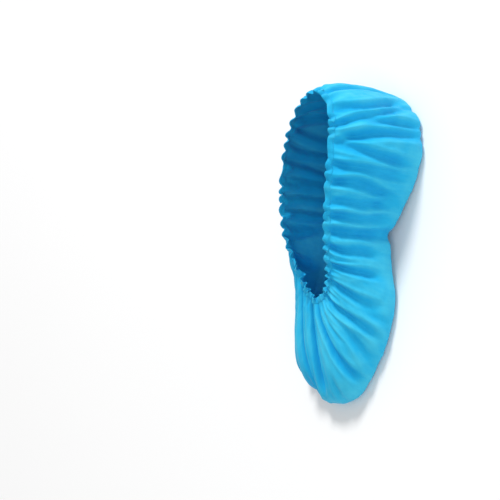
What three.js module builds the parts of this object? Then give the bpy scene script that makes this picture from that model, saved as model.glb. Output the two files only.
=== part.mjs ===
// A disposable shoe cover in the form that it has when worn: one bag of thin non-woven cloth, gathered
// round a wide foot opening by an elastic hem. The toe points along +X, the wearer's left side along +Y
// and the sole rests on Z = 0. Sizes are in millimetres.
import * as THREE from "three";

// Sizes of the bag; the right half of the sole is this share as wide as the left half
const SOLE_LENGTH = 307;
const BALL_WIDTH = 119;
const RIGHT_WIDTH = 0.95;
const EDGE_ROUND = 7;
const CLOTH = 1.3;

// The sole's lift under the arch: its height, and its middle and reach as shares of half the length
const ARCH_LIFT = 8;
const ARCH_MIDDLE = -0.1;
const ARCH_REACH = 0.42;

// Sizes of the foot opening, how far its heel end and its toe end lie off the middle line, and the share of
// half its length from which it runs over to the toe end's place
const MOUTH_LENGTH = 200;
const MOUTH_WIDTH = 70;
const MOUTH_SETBACK = 40;
const MOUTH_HEIGHT = 100;
const MOUTH_SHIFT = -3;
const TIP_SHIFT = 5;
const TIP_FROM = 0.3;

// The wall's widest bulge over the sole's edge
const BELLY = 4;

// Long folds: how deep a whole one cuts in, how far the cloth between them stands out, how much of the
// depth is left at the opening and how soon it is whole, and how it dies away down the wall
const FOLD_DEPTH = 6.5;
const FOLD_CREST = 0.45;
const FOLD_AT_RIM = 0.3;
const FOLD_GROWTH = 2.5;
const FOLD_TAIL = 0.3;
const FOLD_FADE = 0.35;

// Short ruffles at the hem: in and out, up and down, how many, how they crowd and how far down they run
const RUFFLE_DEPTH = 1.2;
const RUFFLE_RISE = 0.8;
const RUFFLES = 36;
const RUFFLE_CROWDS = 5;
const RUFFLE_RUN = 0.09;

// Elastic hem
const HEM_WIDTH = 4.6;
const HEM_HEIGHT = 5.2;
const HEM_GAP = 0.35;

// Facets, how evenly they are spread along the opening (1) or along the rows (0), and how tight the curves
// through the rows are
const AROUND = 180;
const DOWN = 9;
const HEM_SIDES = 6;
const EVENNESS = 0.5;
const CURVE_TENSION = 0.5;

// The sole's edge from the toe round the left side to the heel: along as a share of half the sole's
// length, and out to the side as a share of half the ball's width.
const SOLE_EDGE = [
  { place: "toe", at: 1.0, out: 0.0 },
  { place: "toe cap", at: 0.98, out: 0.38 },
  { place: "toe corner", at: 0.89, out: 0.68 },
  { place: "toe side", at: 0.71, out: 0.88 },
  { place: "ball", at: 0.51, out: 1.0 },
  { place: "behind the ball", at: 0.29, out: 0.98 },
  { place: "front of the arch", at: 0.1, out: 0.83 },
  { place: "arch", at: -0.1, out: 0.745 },
  { place: "back of the arch", at: -0.28, out: 0.79 },
  { place: "front of the heel", at: -0.47, out: 0.87 },
  { place: "heel side", at: -0.66, out: 0.88 },
  { place: "heel corner", at: -0.84, out: 0.73 },
  { place: "heel round", at: -0.955, out: 0.37 },
  { place: "heel", at: -1.0, out: 0.0 },
];

// The opening's edge at the same places: along, out and up as shares of half its length, half its width
// and its height.
const MOUTH_EDGE = [
  { place: "toe", at: 1.0, out: 0.0, up: 0.56 },
  { place: "toe cap", at: 0.975, out: 0.2, up: 0.56 },
  { place: "toe corner", at: 0.93, out: 0.36, up: 0.57 },
  { place: "toe side", at: 0.86, out: 0.51, up: 0.59 },
  { place: "ball", at: 0.76, out: 0.67, up: 0.63 },
  { place: "behind the ball", at: 0.62, out: 0.82, up: 0.7 },
  { place: "front of the arch", at: 0.44, out: 0.92, up: 0.775 },
  { place: "arch", at: 0.23, out: 0.97, up: 0.84 },
  { place: "back of the arch", at: -0.01, out: 1.0, up: 0.9 },
  { place: "front of the heel", at: -0.27, out: 1.0, up: 0.955 },
  { place: "heel side", at: -0.52, out: 0.95, up: 0.98 },
  { place: "heel corner", at: -0.76, out: 0.79, up: 0.99 },
  { place: "heel round", at: -0.93, out: 0.45, up: 1.0 },
  { place: "heel", at: -1.0, out: 0.0, up: 1.0 },
];

// The wall between the two edges: shoulder and drop are how far it runs outwards and downwards from the
// opening before it turns, rise is how steeply it meets the sole and belly is how far it bulges there.
const WALL = [
  { place: "toe", shoulder: 0.36, drop: 0.2, rise: 0.6, belly: 0.0 },
  { place: "toe cap", shoulder: 0.36, drop: 0.2, rise: 0.6, belly: 0.0 },
  { place: "toe corner", shoulder: 0.36, drop: 0.2, rise: 0.56, belly: 0.0 },
  { place: "toe side", shoulder: 0.35, drop: 0.2, rise: 0.44, belly: 0.0 },
  { place: "ball", shoulder: 0.35, drop: 0.2, rise: 0.38, belly: 0.1 },
  { place: "behind the ball", shoulder: 0.38, drop: 0.18, rise: 0.4, belly: 0.2 },
  { place: "front of the arch", shoulder: 0.55, drop: 0.17, rise: 0.46, belly: 0.4 },
  { place: "arch", shoulder: 0.7, drop: 0.18, rise: 0.48, belly: 0.5 },
  { place: "back of the arch", shoulder: 0.8, drop: 0.18, rise: 0.46, belly: 0.7 },
  { place: "front of the heel", shoulder: 0.9, drop: 0.18, rise: 0.45, belly: 0.9 },
  { place: "heel side", shoulder: 0.9, drop: 0.18, rise: 0.45, belly: 1.0 },
  { place: "heel corner", shoulder: 0.9, drop: 0.18, rise: 0.45, belly: 0.8 },
  { place: "heel round", shoulder: 0.9, drop: 0.18, rise: 0.45, belly: 0.7 },
  { place: "heel", shoulder: 0.9, drop: 0.18, rise: 0.45, belly: 0.7 },
];

// The long folds that fan out from the opening on the left side. rim and foot are where a fold leaves the
// opening and where it points on the sole, as shares of the way round from the toe (0) to the heel (0.5).
// depth is a share of FOLD_DEPTH and width is the half width as a share of the way round. start and reach
// are where the fold is whole and where it has died away, from the opening (0) to the sole (1).
const FOLDS = [
  { rim: 0.034, foot: 0.094, depth: 1.0, width: 0.015, start: 0.0, reach: 0.85 },
  { rim: 0.09, foot: 0.126, depth: 0.5, width: 0.018, start: 0.5, reach: 0.9 },
  { rim: 0.128, foot: 0.163, depth: 0.9, width: 0.018, start: 0.0, reach: 0.9 },
  { rim: 0.166, foot: 0.188, depth: 1.0, width: 0.014, start: 0.0, reach: 0.95 },
  { rim: 0.192, foot: 0.222, depth: 1.0, width: 0.013, start: 0.0, reach: 0.95 },
  { rim: 0.229, foot: 0.249, depth: 0.9, width: 0.013, start: 0.0, reach: 0.95 },
  { rim: 0.258, foot: 0.27, depth: 1.1, width: 0.014, start: 0.0, reach: 1.5 },
  { rim: 0.28, foot: 0.294, depth: 0.7, width: 0.012, start: 0.0, reach: 0.8 },
  { rim: 0.304, foot: 0.313, depth: 0.8, width: 0.013, start: 0.0, reach: 0.9 },
  { rim: 0.331, foot: 0.325, depth: 1.0, width: 0.014, start: 0.0, reach: 0.95 },
  { rim: 0.359, foot: 0.352, depth: 0.8, width: 0.014, start: 0.0, reach: 1.0 },
  { rim: 0.381, foot: 0.37, depth: 1.0, width: 0.013, start: 0.0, reach: 0.95 },
  { rim: 0.397, foot: 0.407, depth: 1.0, width: 0.013, start: 0.0, reach: 0.95 },
  { rim: 0.42, foot: 0.424, depth: 0.8, width: 0.011, start: 0.7, reach: 1.1 },
  { rim: 0.413, foot: 0.453, depth: 0.8, width: 0.013, start: 0.0, reach: 0.8 },
  { rim: 0.445, foot: 0.468, depth: 0.9, width: 0.013, start: 0.0, reach: 0.85 },
  { rim: 0.482, foot: 0.486, depth: 0.7, width: 0.012, start: 0.0, reach: 0.8 },
];
// The right side has the same folds, this much further round and this much shallower.
const RIGHT_SHIFT = 0.011;
const RIGHT_DEPTH = 0.85;
// One fold runs down the middle of the toe, a little aslant.
const TOE_FOLD = { rim: -0.02, foot: 0.012, depth: 0.9, width: 0.013, start: 0.0, reach: 0.9 };

const clothBlue = new THREE.MeshStandardMaterial({ name: "cloth", color: 0x2eb2e1, roughness: 0.6 });
const hemBlue = new THREE.MeshStandardMaterial({ name: "hem", color: 0x27a3da, roughness: 0.65 });

// A closed smooth curve through one vector for each row and each mirrored row on the right side.
function loopThrough(rows, vectorOf) {
  const left = rows.map((row) => vectorOf(row, 1));
  const right = rows.slice(1, -1).map((row) => vectorOf(row, -1)).reverse();
  return new THREE.CatmullRomCurve3([...left, ...right], true, "catmullrom", CURVE_TENSION);
}

const soleLoop = loopThrough(SOLE_EDGE, (row, side) => new THREE.Vector3(
  row.at * SOLE_LENGTH / 2,
  (side > 0 ? 1 : -RIGHT_WIDTH) * row.out * BALL_WIDTH / 2,
  0,
));

const mouthLoop = loopThrough(MOUTH_EDGE, (row, side) => new THREE.Vector3(
  row.at * MOUTH_LENGTH / 2 - MOUTH_SETBACK,
  side * row.out * MOUTH_WIDTH / 2
    + THREE.MathUtils.lerp(MOUTH_SHIFT, TIP_SHIFT, THREE.MathUtils.smoothstep(row.at, TIP_FROM, 1)),
  row.up * MOUTH_HEIGHT,
));

const wallLoop = loopThrough(WALL, (row) => new THREE.Vector3(row.shoulder, row.drop, row.rise));
const bellyLoop = loopThrough(WALL, (row) => new THREE.Vector3(row.belly, 0, 0));

// The place on the loops for a share of the way round: the facets lie closer where the rows are far apart.
function placeAt(share) {
  return THREE.MathUtils.lerp(share, mouthLoop.getUtoTmapping(share), EVENNESS);
}

// The sole lifts under the arch, between the ball and the heel.
function archLift(x) {
  const off = Math.min(1, Math.abs(x / (SOLE_LENGTH / 2) - ARCH_MIDDLE) / ARCH_REACH);
  return ARCH_LIFT * (1 + Math.cos(Math.PI * off)) / 2;
}

// One fold's share of its depth at a place round the opening and down the wall.
function foldAt(fold, around, down) {
  const centre = THREE.MathUtils.lerp(fold.rim, fold.foot, down);
  const gap = Math.abs(around - centre);
  const off = Math.min(gap, 1 - gap) / fold.width;
  const across = Math.exp(-off * off);
  const grown = THREE.MathUtils.smoothstep(down, fold.start - FOLD_TAIL, fold.start);
  const left = 1 - THREE.MathUtils.smoothstep(down, fold.reach - FOLD_TAIL, fold.reach);
  return fold.depth * across * grown * left * (1 - FOLD_FADE * down);
}

const allFolds = [
  TOE_FOLD,
  ...FOLDS,
  ...FOLDS.map((fold) => ({
    ...fold,
    rim: 1 - fold.rim - RIGHT_SHIFT,
    foot: 1 - fold.foot - RIGHT_SHIFT,
    depth: fold.depth * RIGHT_DEPTH,
  })),
];

// The ruffles' phase round the opening: they crowd and spread a little, as gathered cloth does.
function rufflePhase(share) {
  return 2 * Math.PI * RUFFLES * share + Math.sin(2 * Math.PI * RUFFLE_CROWDS * share);
}

// How far the cloth stands in or out of its smooth form: long folds, and the short ruffles at the hem.
function ripple(share, down) {
  const around = placeAt(share);
  const folds = allFolds.reduce((sum, fold) => sum + foldAt(fold, around, down), 0);
  const growth = Math.min(1, FOLD_AT_RIM + FOLD_GROWTH * down);
  const ruffle = Math.sin(rufflePhase(share)) * Math.exp(-down / RUFFLE_RUN);
  return FOLD_DEPTH * (FOLD_CREST - folds) * growth + RUFFLE_DEPTH * ruffle;
}

// A point of the smooth wall: a cubic curve from the opening, out over the shoulder and down to the sole.
function wallPoint(share, down) {
  const around = placeAt(share);
  const rim = mouthLoop.getPoint(around);
  rim.z += RUFFLE_RISE * Math.cos(rufflePhase(share));
  const foot = soleLoop.getPoint(around);
  foot.z = archLift(foot.x) + EDGE_ROUND;
  const shape = wallLoop.getPoint(around);
  const height = rim.z - foot.z;
  const near = new THREE.Vector3(
    THREE.MathUtils.lerp(rim.x, foot.x, shape.x),
    THREE.MathUtils.lerp(rim.y, foot.y, shape.x),
    rim.z - height * shape.y,
  );
  const low = foot.clone().addScaledVector(soleNormal(around), BELLY * bellyLoop.getPoint(around).x);
  low.z += height * shape.z;
  return new THREE.CubicBezierCurve3(rim, near, low, foot).getPoint(down);
}

// The level direction that points out of the sole's edge.
function soleNormal(around) {
  const step = 0.002;
  const before = soleLoop.getPoint((around - step + 1) % 1);
  const after = soleLoop.getPoint((around + step) % 1);
  return new THREE.Vector3(after.y - before.y, before.x - after.x, 0).normalize();
}

// The direction that points out of the smooth wall.
function wallNormal(share, down) {
  const step = 0.004;
  const across = wallPoint((share + step) % 1, down).sub(wallPoint((share - step + 1) % 1, down));
  const low = Math.max(0, down - step);
  const high = Math.min(1, down + step);
  const along = wallPoint(share, high).sub(wallPoint(share, low));
  return along.cross(across).normalize();
}

// The rings of the outside of the cloth, from the opening down the wall and round under the sole's edge.
function outsideRings() {
  const rings = [];
  for (let k = 0; k <= DOWN; k += 1) {
    const down = k / DOWN;
    const ring = [];
    for (let i = 0; i < AROUND; i += 1) {
      const share = i / AROUND;
      ring.push(wallPoint(share, down).addScaledVector(wallNormal(share, down), ripple(share, down)));
    }
    rings.push(ring);
  }
  const foot = rings[DOWN];
  const turns = [Math.PI / 4, Math.PI / 2];
  for (const turn of turns) {
    const inwards = EDGE_ROUND * (1 - Math.cos(turn));
    rings.push(foot.map((point, i) => {
      const under = point.clone().addScaledVector(soleNormal(placeAt(i / AROUND)), -inwards);
      under.z -= EDGE_ROUND * Math.sin(turn);
      return under;
    }));
  }
  return rings;
}

// The same rings moved in by the thickness of the cloth.
function insideRings(rings) {
  const last = rings.length - 1;
  return rings.map((ring, k) => ring.map((point, i) => {
    const across = ring[(i + 1) % AROUND].clone().sub(ring[(i - 1 + AROUND) % AROUND]);
    const along = rings[Math.min(last, k + 1)][i].clone().sub(rings[Math.max(0, k - 1)][i]);
    const inwards = k === last ? new THREE.Vector3(0, 0, 1) : across.cross(along).normalize();
    return point.clone().addScaledVector(inwards, CLOTH);
  }));
}

// A mesh geometry with smooth shading from its corners and its triangles.
function geometryFrom(positions, faces) {
  const geometry = new THREE.BufferGeometry();
  geometry.setAttribute("position", new THREE.Float32BufferAttribute(positions, 3));
  geometry.setIndex(faces);
  geometry.computeVertexNormals();
  return geometry;
}

// Joins rings of equal length into bands, and closes the last ring of each side with rungs across the sole.
function clothGeometry(outside, inside) {
  const positions = [...outside, ...inside].flat().flatMap((point) => point.toArray());
  const faces = [];
  const quad = (a, b, c, d) => faces.push(a, b, c, a, c, d);
  const index = (layer, k, i) => (layer * outside.length + k) * AROUND + (i + AROUND) % AROUND;
  const last = outside.length - 1;
  for (let i = 0; i < AROUND; i += 1) {
    for (let k = 0; k < last; k += 1) {
      quad(index(0, k, i), index(0, k + 1, i), index(0, k + 1, i + 1), index(0, k, i + 1));
      quad(index(1, k, i), index(1, k, i + 1), index(1, k + 1, i + 1), index(1, k + 1, i));
    }
    quad(index(0, 0, i), index(0, 0, i + 1), index(1, 0, i + 1), index(1, 0, i));
  }
  for (let i = 0; i < AROUND / 2; i += 1) {
    const rung = [index(0, last, i), index(0, last, -i), index(0, last, -i - 1), index(0, last, i + 1)];
    const inner = rung.map((place) => place + outside.length * AROUND);
    if (i === 0) {
      faces.push(rung[0], rung[2], rung[3]);
      faces.push(inner[0], inner[3], inner[2]);
    } else if (i === AROUND / 2 - 1) {
      faces.push(rung[0], rung[1], rung[2]);
      faces.push(inner[0], inner[2], inner[1]);
    } else {
      quad(...rung);
      quad(inner[0], inner[3], inner[2], inner[1]);
    }
  }
  return geometryFrom(positions, faces);
}

// The hem is a gathered roll that sits on the edge of the cloth, all the way round the opening.
function hemGeometry(outside, inside) {
  const positions = [];
  const faces = [];
  for (let i = 0; i < AROUND; i += 1) {
    const edge = outside[0][i].clone().add(inside[0][i]).multiplyScalar(0.5);
    const below = outside[1][i].clone().add(inside[1][i]).multiplyScalar(0.5);
    const upwards = edge.clone().sub(below).normalize();
    const outwards = outside[0][i].clone().sub(inside[0][i]).normalize();
    const centre = edge.clone().addScaledVector(upwards, HEM_GAP + HEM_HEIGHT / 2);
    for (let j = 0; j < HEM_SIDES; j += 1) {
      const turn = 2 * Math.PI * (j + 0.5) / HEM_SIDES;
      const point = centre.clone()
        .addScaledVector(outwards, Math.sin(turn) * HEM_WIDTH / 2)
        .addScaledVector(upwards, Math.cos(turn) * HEM_HEIGHT / 2);
      positions.push(...point.toArray());
      const here = i * HEM_SIDES + j;
      const next = i * HEM_SIDES + (j + 1) % HEM_SIDES;
      const ahead = (here + HEM_SIDES) % (AROUND * HEM_SIDES);
      const aheadNext = (next + HEM_SIDES) % (AROUND * HEM_SIDES);
      faces.push(here, next, aheadNext, here, aheadNext, ahead);
    }
  }
  return geometryFrom(positions, faces);
}

const outside = outsideRings();
const inside = insideRings(outside);

const coverBag = new THREE.Mesh(clothGeometry(outside, inside), clothBlue);
coverBag.name = "cover_bag";

const elasticHem = new THREE.Mesh(hemGeometry(outside, inside), hemBlue);
elasticHem.name = "elastic_hem";

// The origin is on the floor, in the middle of the whole cover.
const shoeCover = new THREE.Group();
shoeCover.name = "shoe_cover";
shoeCover.add(coverBag, elasticHem);
const bounds = new THREE.Box3().setFromObject(shoeCover);
const middle = bounds.getCenter(new THREE.Vector3());
shoeCover.position.set(-middle.x, -middle.y, -bounds.min.z);

export default shoeCover;
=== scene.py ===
"""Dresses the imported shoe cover: gathered non-woven cloth, an elastic hem, a pale floor and soft light."""

import logging
import math
from collections.abc import Callable
from dataclasses import dataclass, field
from enum import Enum

import bpy
import numpy as np
from mathutils import Matrix


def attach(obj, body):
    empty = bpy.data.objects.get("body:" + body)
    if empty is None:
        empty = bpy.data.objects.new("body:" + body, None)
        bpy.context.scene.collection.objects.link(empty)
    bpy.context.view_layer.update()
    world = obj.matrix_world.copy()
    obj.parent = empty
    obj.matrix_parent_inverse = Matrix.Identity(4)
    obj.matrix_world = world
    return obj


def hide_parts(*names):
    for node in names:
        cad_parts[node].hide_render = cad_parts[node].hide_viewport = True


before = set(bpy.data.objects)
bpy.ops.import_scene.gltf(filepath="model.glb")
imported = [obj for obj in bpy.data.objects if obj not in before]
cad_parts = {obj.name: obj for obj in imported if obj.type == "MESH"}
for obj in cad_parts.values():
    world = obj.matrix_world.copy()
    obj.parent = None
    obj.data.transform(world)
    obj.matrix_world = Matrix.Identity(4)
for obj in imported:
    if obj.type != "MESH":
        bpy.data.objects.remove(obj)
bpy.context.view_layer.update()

LOG = logging.getLogger("shoe_cover")
MM = 0.001
# millimetres to one unit of the cloth map
MAP_UNIT = 100.0
TINY = 1e-12
Point = tuple[float, float, float]
Colour = tuple[float, float, float, float]
SocketOrNumber = bpy.types.NodeSocket | float


class Slot(Enum):
    """The record's material slots."""

    CLOTH = "cloth"
    HEM = "hem"


@dataclass(frozen=True)
class EdgePlace:
    """One place on an edge of the bag, as shares of the edge's half length, half width and height."""

    at: float
    out: float
    up: float = 0.0


@dataclass(frozen=True)
class WallShape:
    """How the wall runs from the opening to the sole at one place."""

    shoulder: float
    drop: float
    rise: float
    belly: float


@dataclass(frozen=True)
class Fold:
    """A long valley in the cloth.

    Its ends are shares of the way round, bow is how far its middle lies off the straight line between them,
    and start and reach are how far down the wall it begins and ends.
    """

    rim: float
    foot: float
    bow: float
    depth: float
    width: float
    start: float = 0.0
    reach: float = 1.04

    def centre(self, down: np.ndarray) -> np.ndarray:
        """The valley's middle line at each place down the wall."""
        return self.rim + (self.foot - self.rim) * down + self.bow * 4.0 * down * (1.0 - down)


@dataclass(frozen=True)
class Dent:
    """A shallow place where the cloth lies closer to the foot, which steps the outline."""

    share: float
    down: float
    depth: float
    share_radius: float
    down_radius: float


SOLE_EDGE = (
    EdgePlace(1.0, 0.0),
    EdgePlace(0.98, 0.38),
    EdgePlace(0.89, 0.68),
    EdgePlace(0.71, 0.88),
    EdgePlace(0.51, 1.0),
    EdgePlace(0.29, 0.98),
    EdgePlace(0.1, 0.83),
    EdgePlace(-0.1, 0.745),
    EdgePlace(-0.28, 0.79),
    EdgePlace(-0.47, 0.87),
    EdgePlace(-0.66, 0.88),
    EdgePlace(-0.84, 0.73),
    EdgePlace(-0.955, 0.37),
    EdgePlace(-1.0, 0.0),
)

MOUTH_EDGE = (
    EdgePlace(1.0, 0.0, 0.56),
    EdgePlace(0.975, 0.2, 0.56),
    EdgePlace(0.93, 0.36, 0.57),
    EdgePlace(0.86, 0.51, 0.59),
    EdgePlace(0.76, 0.67, 0.63),
    EdgePlace(0.62, 0.82, 0.7),
    EdgePlace(0.44, 0.92, 0.775),
    EdgePlace(0.23, 0.97, 0.84),
    EdgePlace(-0.01, 1.0, 0.9),
    EdgePlace(-0.27, 1.0, 0.955),
    EdgePlace(-0.52, 0.95, 0.98),
    EdgePlace(-0.76, 0.79, 0.99),
    EdgePlace(-0.93, 0.45, 1.0),
    EdgePlace(-1.0, 0.0, 1.0),
)

WALL = (
    WallShape(0.36, 0.2, 0.6, 0.0),
    WallShape(0.36, 0.2, 0.6, 0.0),
    WallShape(0.36, 0.2, 0.56, 0.0),
    WallShape(0.35, 0.2, 0.44, 0.0),
    WallShape(0.35, 0.2, 0.38, 0.1),
    WallShape(0.38, 0.18, 0.4, 0.2),
    WallShape(0.55, 0.17, 0.46, 0.4),
    WallShape(0.7, 0.18, 0.48, 0.5),
    WallShape(0.8, 0.18, 0.46, 0.7),
    WallShape(0.9, 0.18, 0.45, 0.9),
    WallShape(0.9, 0.18, 0.45, 1.0),
    WallShape(0.9, 0.18, 0.45, 0.8),
    WallShape(0.9, 0.18, 0.45, 0.7),
    WallShape(0.9, 0.18, 0.45, 0.7),
)

# the long folds run from the toe round the left side to the heel
LEFT_FOLDS = (
    Fold(0.015, 0.09, 0.0245, 1.0, 0.013),
    Fold(0.055, 0.045, 0.0, 0.35, 0.014, 0.8, 1.06),
    Fold(0.083, 0.12, 0.015, 0.65, 0.017, 0.6, 1.06),
    Fold(0.097, 0.142, 0.0235, 0.75, 0.0135, 0.0, 1.0),
    Fold(0.168, 0.168, 0.0, 0.4, 0.01, 0.75, 1.06),
    Fold(0.152, 0.179, 0.0098, 0.85, 0.013, 0.0, 0.92),
    Fold(0.19, 0.22, 0.0086, 1.0, 0.013, 0.0, 0.94),
    Fold(0.23, 0.251, 0.0, 0.9, 0.013, 0.0, 0.97),
    Fold(0.257, 0.271, 0.0, 1.1, 0.014, 0.0, 1.6),
    Fold(0.278, 0.294, 0.0, 0.75, 0.012),
    Fold(0.3005, 0.3115, 0.0, 0.85, 0.013),
    Fold(0.3275, 0.3185, 0.002, 1.0, 0.014),
    Fold(0.352, 0.352, -0.005, 0.9, 0.014),
    Fold(0.382, 0.366, -0.003, 1.0, 0.013),
    Fold(0.3865, 0.4045, 0.0, 1.0, 0.012, 0.25, 1.15),
    Fold(0.405, 0.417, 0.0, 0.9, 0.011, 0.6, 1.15),
    Fold(0.407, 0.447, -0.006, 0.9, 0.013),
    Fold(0.435, 0.463, -0.012, 0.9, 0.013),
    Fold(0.475, 0.481, 0.0, 0.7, 0.012),
)

# these lie over the toe and begin on the right side of the opening
TOE_FOLDS = (
    Fold(-0.036, 0.006, 0.027, 1.3, 0.018, 0.0, 0.9),
    Fold(-0.14, -0.012, 0.046, 1.0, 0.02, 0.0, 1.0),
    Fold(-0.178, -0.065, 0.03, 0.8, 0.013),
    Fold(-0.192, -0.12, 0.02, 0.9, 0.013),
    Fold(-0.2, -0.165, 0.01, 0.9, 0.013),
    Fold(-0.215, -0.215, 0.0, 0.9, 0.013),
)

# thin lines that stand out between the folds over the ball and the toe
RIDGES = (
    Fold(0.11, 0.154, 0.0247, 0.9, 0.005),
    Fold(0.07, 0.143, 0.0235, 1.0, 0.005),
    Fold(0.0616, 0.0957, 0.0266, 1.0, 0.005),
    Fold(-0.004, 0.082, 0.027, 0.9, 0.005, 0.0, 0.8),
    Fold(-0.0688, -0.0024, 0.033, 0.8, 0.005),
)

# the first two step the toe's outline, and the others are at the heel and the waist
DENTS = (
    Dent(0.965, 0.88, 5.5, 0.0085, 0.22),
    Dent(0.983, 0.9, 9.0, 0.0085, 0.22),
    Dent(0.515, 0.5, 2.6, 0.02, 0.25),
    Dent(0.446, 1.0, 2.2, 0.005, 0.25),
    Dent(0.25, 1.0, 2.8, 0.007, 0.2),
)


def smoothstep(value: np.ndarray, low: float, high: float) -> np.ndarray:
    """Eases from 0 at low to 1 at high.

    Args:
        value: the numbers to ease.
        low: where the result leaves 0.
        high: where the result reaches 1.

    Returns:
        The eased numbers.
    """
    share = np.clip((np.asarray(value, float) - low) / (high - low), 0.0, 1.0)
    return share * share * (3.0 - 2.0 * share)


def unit(vectors: np.ndarray) -> np.ndarray:
    """Scales each vector to length 1."""
    return vectors / np.maximum(np.linalg.norm(vectors, axis=-1, keepdims=True), TINY)


def gap_round(place: np.ndarray, centre: np.ndarray) -> np.ndarray:
    """The signed distance round the bag from a centre line, as a share of the way round."""
    half_way = 0.5
    return np.mod(place - centre + half_way, 1.0) - half_way


def bell(off: np.ndarray, width: float) -> np.ndarray:
    """A smooth hump, 1 in its middle, that dies away over its width."""
    return np.exp(-((off / width) ** 2))


def closed_curve(points: np.ndarray, place: np.ndarray) -> np.ndarray:
    """Follows a closed Catmull-Rom curve through rows of points.

    Args:
        points: the rows that the curve passes through, in order.
        place: where to read it, as shares of the way round.

    Returns:
        One row for each place.
    """
    count = len(points)
    along = np.mod(place, 1.0) * count
    row = np.floor(along).astype(int) % count
    share = (along - np.floor(along))[..., None]
    before, here = points[(row - 1) % count], points[row]
    after, beyond = points[(row + 1) % count], points[(row + 2) % count]
    leave, arrive = 0.5 * (after - before), 0.5 * (beyond - here)
    return (
        here
        + leave * share
        + (3.0 * (after - here) - 2.0 * leave - arrive) * share**2
        + (2.0 * (here - after) + leave + arrive) * share**3
    )


@dataclass(frozen=True)
class WavyNoise:
    """Smooth noise round and down the bag, from a few seeded waves that close on themselves."""

    seed: int
    round_low: int
    round_high: int
    down_high: float
    waves: int = 24

    def at(self, share: np.ndarray, down: np.ndarray) -> np.ndarray:
        """Reads the noise.

        Args:
            share: places round the bag, 0 to 1.
            down: places down the wall, 0 to 1.

        Returns:
            Numbers of about -1 to 1.
        """
        rng = np.random.default_rng(self.seed)
        total = np.zeros(np.broadcast(share, down).shape)
        for _ in range(self.waves):
            turns = int(rng.integers(self.round_low, self.round_high + 1))
            fall = rng.uniform(-self.down_high, self.down_high)
            phase = rng.uniform(0.0, 2.0 * math.pi)
            total += np.cos(2.0 * math.pi * (turns * share + fall * down) + phase)
        return total / math.sqrt(self.waves)


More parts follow.
